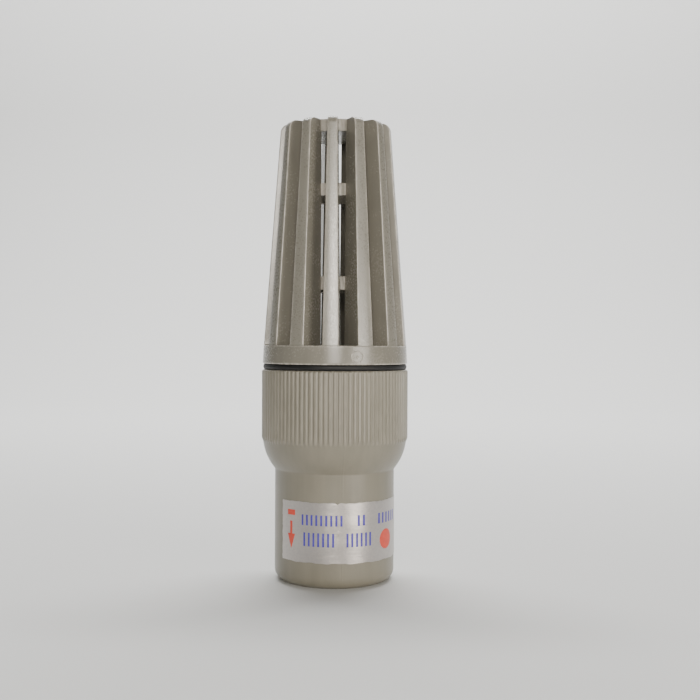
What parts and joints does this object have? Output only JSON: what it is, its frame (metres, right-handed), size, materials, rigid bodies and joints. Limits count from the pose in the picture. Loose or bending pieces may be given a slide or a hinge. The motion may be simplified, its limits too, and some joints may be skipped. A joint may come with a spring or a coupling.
{
  "type": "foot valve",
  "caption": "Spring-loaded foot valve with a screw-on ribbed suction strainer and a solvent-weld pipe socket.",
  "frame": {"origin": "centre of the socket's mouth, on the plane that the valve stands on", "axes": "+Z along the valve's axis from the pipe socket to the strainer's closed tip; one strainer rib is centred on -Y"},
  "size_m": [0.0514, 0.0514, 0.1594],
  "materials": {
    "grey_pvc": "semi-gloss moulded",
    "guide_plastic": "satin moulded",
    "black_rubber": "satin",
    "stainless": "turned",
    "silver_foil": "satin foil sticker"
  },
  "bodies": {
    "housing": {"valve_body": "grey_pvc", "stem_guide": "guide_plastic", "seat_ring": "grey_pvc", "seat_seal": "black_rubber", "return_spring": "stainless", "label": "silver_foil"},
    "poppet": {"valve_disc": "guide_plastic", "disc_seal": "black_rubber", "seal_retainer": "stainless", "valve_stem": "stainless", "lock_washer": "stainless", "stem_nut": "stainless"},
    "rim_ring": {"rim_seal": "black_rubber"},
    "basket": {"strainer": "grey_pvc"}
  },
  "joints": [
    {"name": "poppet_lift", "type": "slide", "parent": "housing", "child": "poppet", "axis": [0, 0, -1], "range_m": [0, 0.007], "stiffness_N_per_m": 120, "springref_m": -0.006, "deforming": ["return_spring"]},
    {"name": "strainer_lift", "type": "slide", "parent": "housing", "child": "rim_ring", "axis": [0, 0, 1], "range_m": [0, 0.0088]},
    {"name": "strainer_turn", "type": "hinge", "parent": "rim_ring", "child": "basket", "pos_m": [0, 0, 0.0755], "axis": [0, 0, 1], "range_deg": [0, 1260]}
  ],
  "couplings": [
    {"joint": "strainer_lift", "follows": "strainer_turn", "m_per_rad": 0.00039789}
  ]
}
